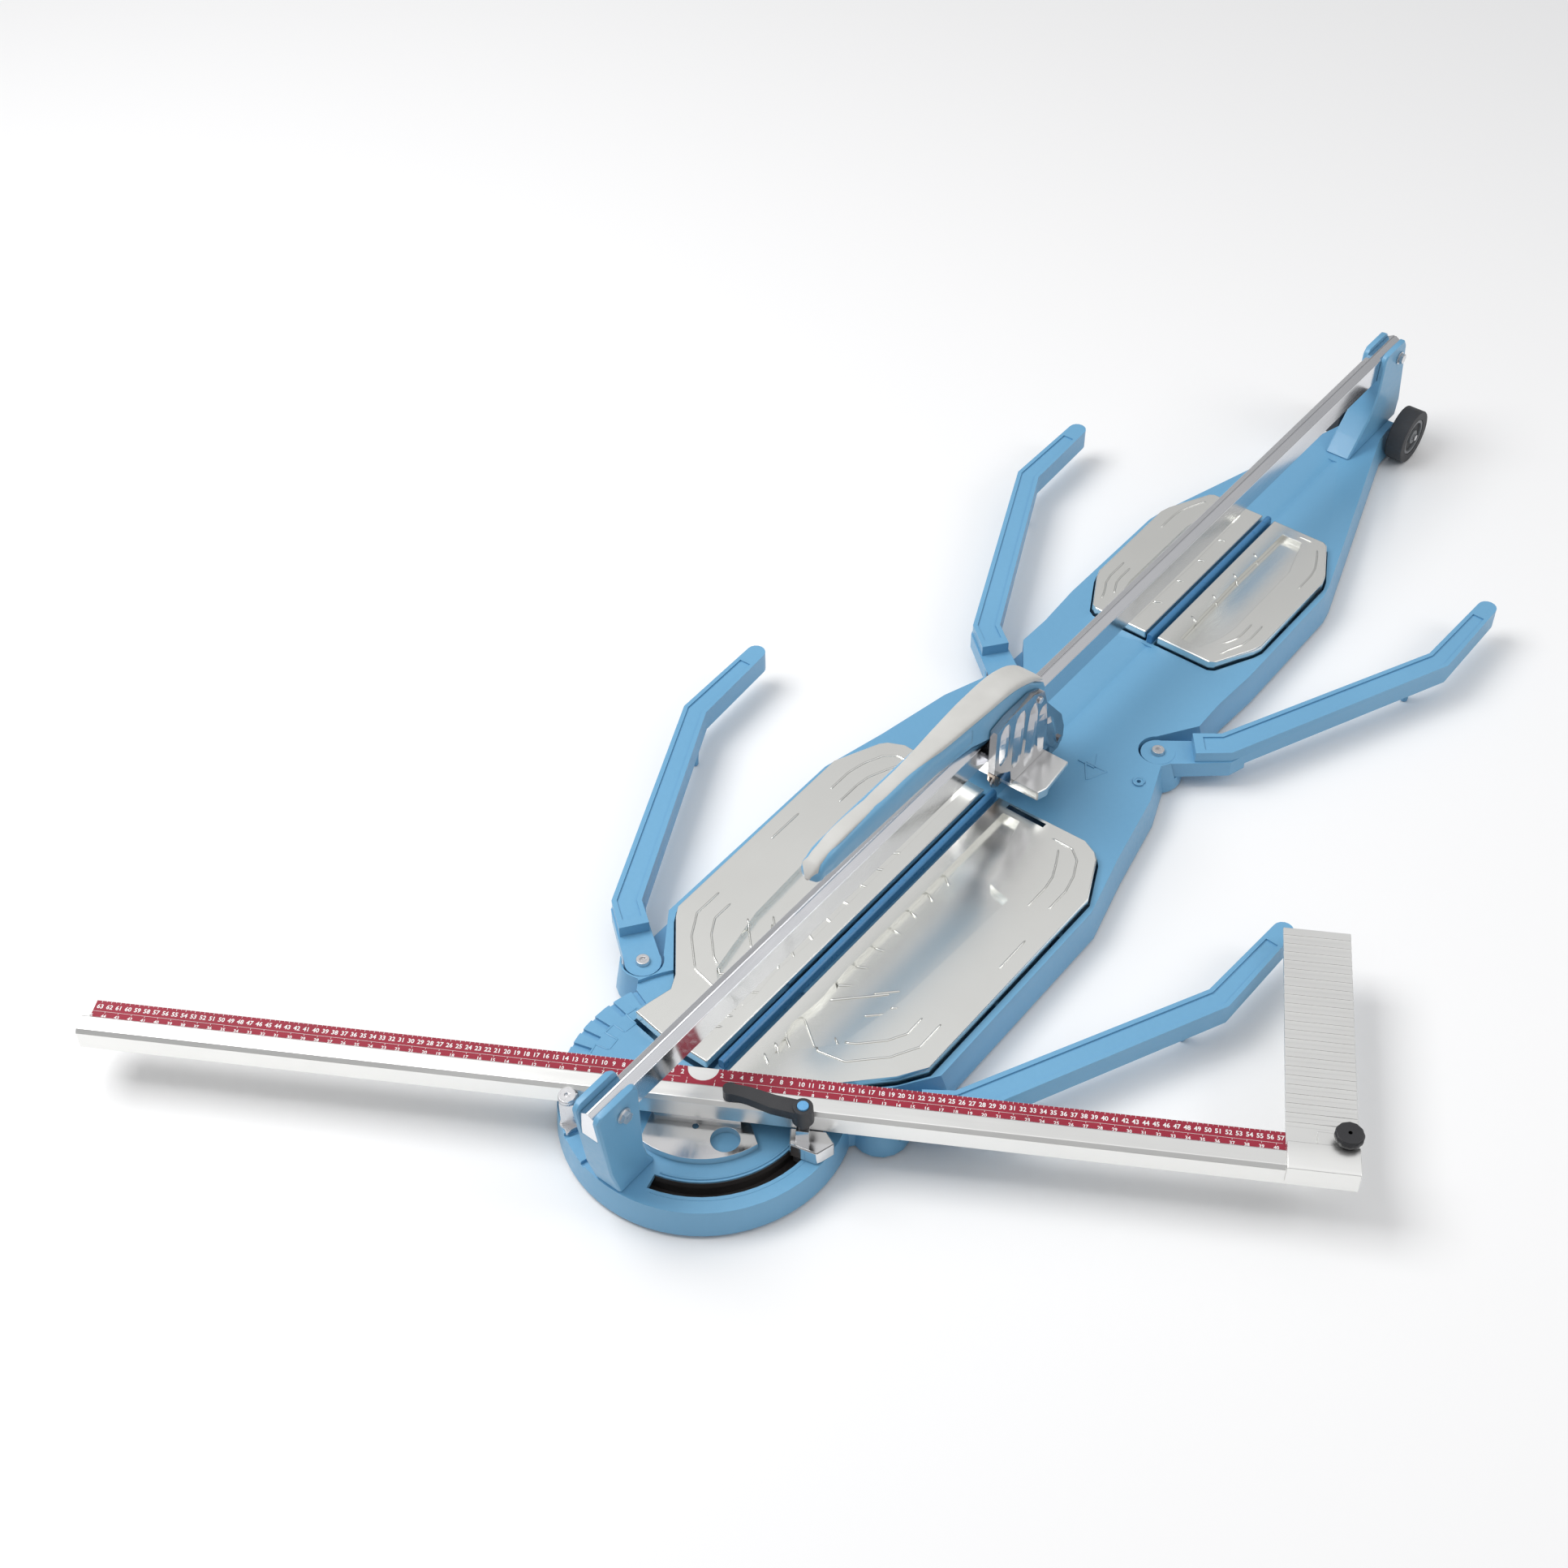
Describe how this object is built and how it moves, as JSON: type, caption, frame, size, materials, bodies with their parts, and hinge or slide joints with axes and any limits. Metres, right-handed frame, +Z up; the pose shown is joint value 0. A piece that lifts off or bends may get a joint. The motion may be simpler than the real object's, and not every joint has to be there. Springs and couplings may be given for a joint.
{
  "type": "tile cutter",
  "caption": "Long rail-guided tile cutter: cast bed with sprung tables, swivelling ruled fence, scoring carriage with pull handle, side arms and transport wheels.",
  "frame": {"origin": "underside of the head's rubber foot, on the floor, straight below the fence pivot and on the cutting line", "axes": "+Z up, +Y along the rail away from the fence, +X to the user's right"},
  "size_m": [1.1379, 1.8198, 0.235],
  "materials": {
    "casting_blue": "satin light blue paint",
    "rib_blue": "deeper blue coating",
    "table_alu": "satin pressed sheet",
    "fence_alu": "brushed extrusion",
    "rail_chrome": "bright plated",
    "steel": "zinc plated",
    "ruler_red": "printed strip",
    "lever_black": "matt black",
    "button_blue": "smooth",
    "grip_grey": "soft light grey",
    "tyre_grey": "dark grey rubber",
    "hub_grey": "grey moulding",
    "foot_rubber": "black rubber",
    "carbide": "bronze-toned steel"
  },
  "bodies": {
    "base": {"base_casting": "casting_blue", "front_post": "casting_blue", "rear_post": "casting_blue", "guide_rail": "rail_chrome", "rail_bolt_front": "steel", "rail_bolt_rear": "steel", "rail_nut_front": "steel", "rail_nut_rear": "steel", "rib_front": "rib_blue", "rib_rear": "rib_blue", "spring_front_right": "steel", "spring_front_left": "steel", "spring_rear_right": "steel", "spring_rear_left": "steel", "pivot_pin": "steel", "wheel_axle": "steel", "arm_pin_front_right": "steel", "arm_pin_front_left": "steel", "arm_pin_rear_right": "steel", "arm_pin_rear_left": "steel", "foot_head": "foot_rubber", "foot_front_right": "foot_rubber", "foot_front_left": "foot_rubber", "foot_rear_right": "foot_rubber", "foot_rear_left": "foot_rubber"},
    "fence": {"fence_bar": "fence_alu", "ruler_strip": "ruler_red", "pivot_bracket": "fence_alu", "clamp_block": "steel", "clamp_stud": "steel", "pointer_bracket": "steel"},
    "lever": {"clamp_lever": "lever_black"},
    "lever_button": {"clamp_button": "button_blue"},
    "index_screw": {"stop_screw": "steel"},
    "side_stop": {"stop_plate": "fence_alu", "stop_saddle": "fence_alu"},
    "side_stop_knob": {"stop_knob": "lever_black"},
    "carriage": {"carriage_body": "rail_chrome", "breaker_foot": "steel", "wheel_holder": "carbide", "scorer_axle": "steel", "handle_pin": "steel"},
    "upper_roller": {"roller_upper": "steel"},
    "lower_roller_front": {"roller_lower_front": "steel"},
    "lower_roller_rear": {"roller_lower_rear": "steel"},
    "handle": {"handle_body": "casting_blue", "handle_grip": "grip_grey"},
    "scorer": {"scoring_wheel": "steel"},
    "wheel_right": {"tyre_right": "tyre_grey", "wheel_hub_right": "hub_grey"},
    "wheel_left": {"tyre_left": "tyre_grey", "wheel_hub_left": "hub_grey"},
    "side_arm_front_right": {"arm_front_right": "casting_blue"},
    "side_arm_front_left": {"arm_front_left": "casting_blue"},
    "side_arm_rear_right": {"arm_rear_right": "casting_blue"},
    "side_arm_rear_left": {"arm_rear_left": "casting_blue"},
    "sprung_table_front_right": {"table_front_right": "table_alu"},
    "sprung_table_front_left": {"table_front_left": "table_alu"},
    "sprung_table_rear_right": {"table_rear_right": "table_alu"},
    "sprung_table_rear_left": {"table_rear_left": "table_alu"}
  },
  "joints": [
    {"name": "carriage_slide", "type": "slide", "parent": "base", "child": "carriage", "axis": [0, 1, 0], "range_m": [-0.455, 0.65]},
    {"name": "handle_lift", "type": "hinge", "parent": "carriage", "child": "handle", "pos_m": [0, 0.55, 0.1838], "axis": [-1, 0, 0], "range_deg": [0, 30]},
    {"name": "scoring_wheel_spin", "type": "hinge", "parent": "carriage", "child": "scorer", "pos_m": [0, 0.513, 0.0725], "axis": [1, 0, 0], "continuous": true},
    {"name": "upper_roller_spin", "type": "hinge", "parent": "carriage", "child": "upper_roller", "pos_m": [0, 0.55, 0.1838], "axis": [1, 0, 0], "continuous": true},
    {"name": "lower_front_roller_spin", "type": "hinge", "parent": "carriage", "child": "lower_roller_front", "pos_m": [0, 0.492, 0.1272], "axis": [1, 0, 0], "continuous": true},
    {"name": "lower_rear_roller_spin", "type": "hinge", "parent": "carriage", "child": "lower_roller_rear", "pos_m": [0, 0.586, 0.1272], "axis": [1, 0, 0], "continuous": true},
    {"name": "fence_swivel", "type": "hinge", "parent": "base", "child": "fence", "pos_m": [0, 0, 0.05], "axis": [0, 0, 1], "range_deg": [-75, 15]},
    {"name": "clamp_lever_turn", "type": "hinge", "parent": "fence", "child": "lever", "pos_m": [0.12249, 0.00513, 0.0746], "axis": [0, 0, 1], "range_deg": [-60, 40]},
    {"name": "clamp_button_press", "type": "slide", "parent": "lever", "child": "lever_button", "axis": [0, 0, -1], "range_m": [0, 0.0015], "stiffness_N_per_m": 400, "springref_m": -0.001},
    {"name": "stop_screw_turn", "type": "hinge", "parent": "fence", "child": "index_screw", "pos_m": [-0.07887, -0.11539, 0.0785], "axis": [0, 0, 1], "range_deg": [-180, 180]},
    {"name": "side_stop_slide", "type": "slide", "parent": "fence", "child": "side_stop", "axis": [0.866, 0.5, 0], "range_m": [-0.42, 0]},
    {"name": "side_stop_knob_turn", "type": "hinge", "parent": "side_stop", "child": "side_stop_knob", "pos_m": [0.55358, 0.30517, 0.0846], "axis": [0, 0, 1], "range_deg": [-180, 180]},
    {"name": "arm_front_right_swing", "type": "hinge", "parent": "base", "child": "side_arm_front_right", "pos_m": [0.158, 0.086, 0.02], "axis": [0, 0, 1], "range_deg": [0, 18]},
    {"name": "arm_front_left_swing", "type": "hinge", "parent": "base", "child": "side_arm_front_left", "pos_m": [-0.158, 0.086, 0.02], "axis": [0, 0, -1], "range_deg": [0, 18]},
    {"name": "arm_rear_right_swing", "type": "hinge", "parent": "base", "child": "side_arm_rear_right", "pos_m": [0.107, 0.691, 0.02], "axis": [0, 0, 1], "range_deg": [0, 18]},
    {"name": "arm_rear_left_swing", "type": "hinge", "parent": "base", "child": "side_arm_rear_left", "pos_m": [-0.107, 0.691, 0.02], "axis": [0, 0, -1], "range_deg": [0, 18]},
    {"name": "wheel_right_spin", "type": "hinge", "parent": "base", "child": "wheel_right", "pos_m": [0.047, 1.42, 0.038], "axis": [1, 0, 0], "continuous": true},
    {"name": "wheel_left_spin", "type": "hinge", "parent": "base", "child": "wheel_left", "pos_m": [-0.047, 1.42, 0.038], "axis": [1, 0, 0], "continuous": true},
    {"name": "table_front_right_dip", "type": "slide", "parent": "base", "child": "sprung_table_front_right", "axis": [0, 0, -1], "range_m": [0, 0.003], "stiffness_N_per_m": 8000, "springref_m": -0.003, "deforming": ["spring_front_right"]},
    {"name": "table_front_left_dip", "type": "slide", "parent": "base", "child": "sprung_table_front_left", "axis": [0, 0, -1], "range_m": [0, 0.003], "stiffness_N_per_m": 8000, "springref_m": -0.003, "deforming": ["spring_front_left"]},
    {"name": "table_rear_right_dip", "type": "slide", "parent": "base", "child": "sprung_table_rear_right", "axis": [0, 0, -1], "range_m": [0, 0.003], "stiffness_N_per_m": 5000, "springref_m": -0.003, "deforming": ["spring_rear_right"]},
    {"name": "table_rear_left_dip", "type": "slide", "parent": "base", "child": "sprung_table_rear_left", "axis": [0, 0, -1], "range_m": [0, 0.003], "stiffness_N_per_m": 5000, "springref_m": -0.003, "deforming": ["spring_rear_left"]}
  ],
  "couplings": [
    {"joint": "upper_roller_spin", "follows": "carriage_slide", "rad_per_m": -95.238},
    {"joint": "lower_front_roller_spin", "follows": "carriage_slide", "rad_per_m": 117.65},
    {"joint": "lower_rear_roller_spin", "follows": "carriage_slide", "rad_per_m": 117.65}
  ]
}
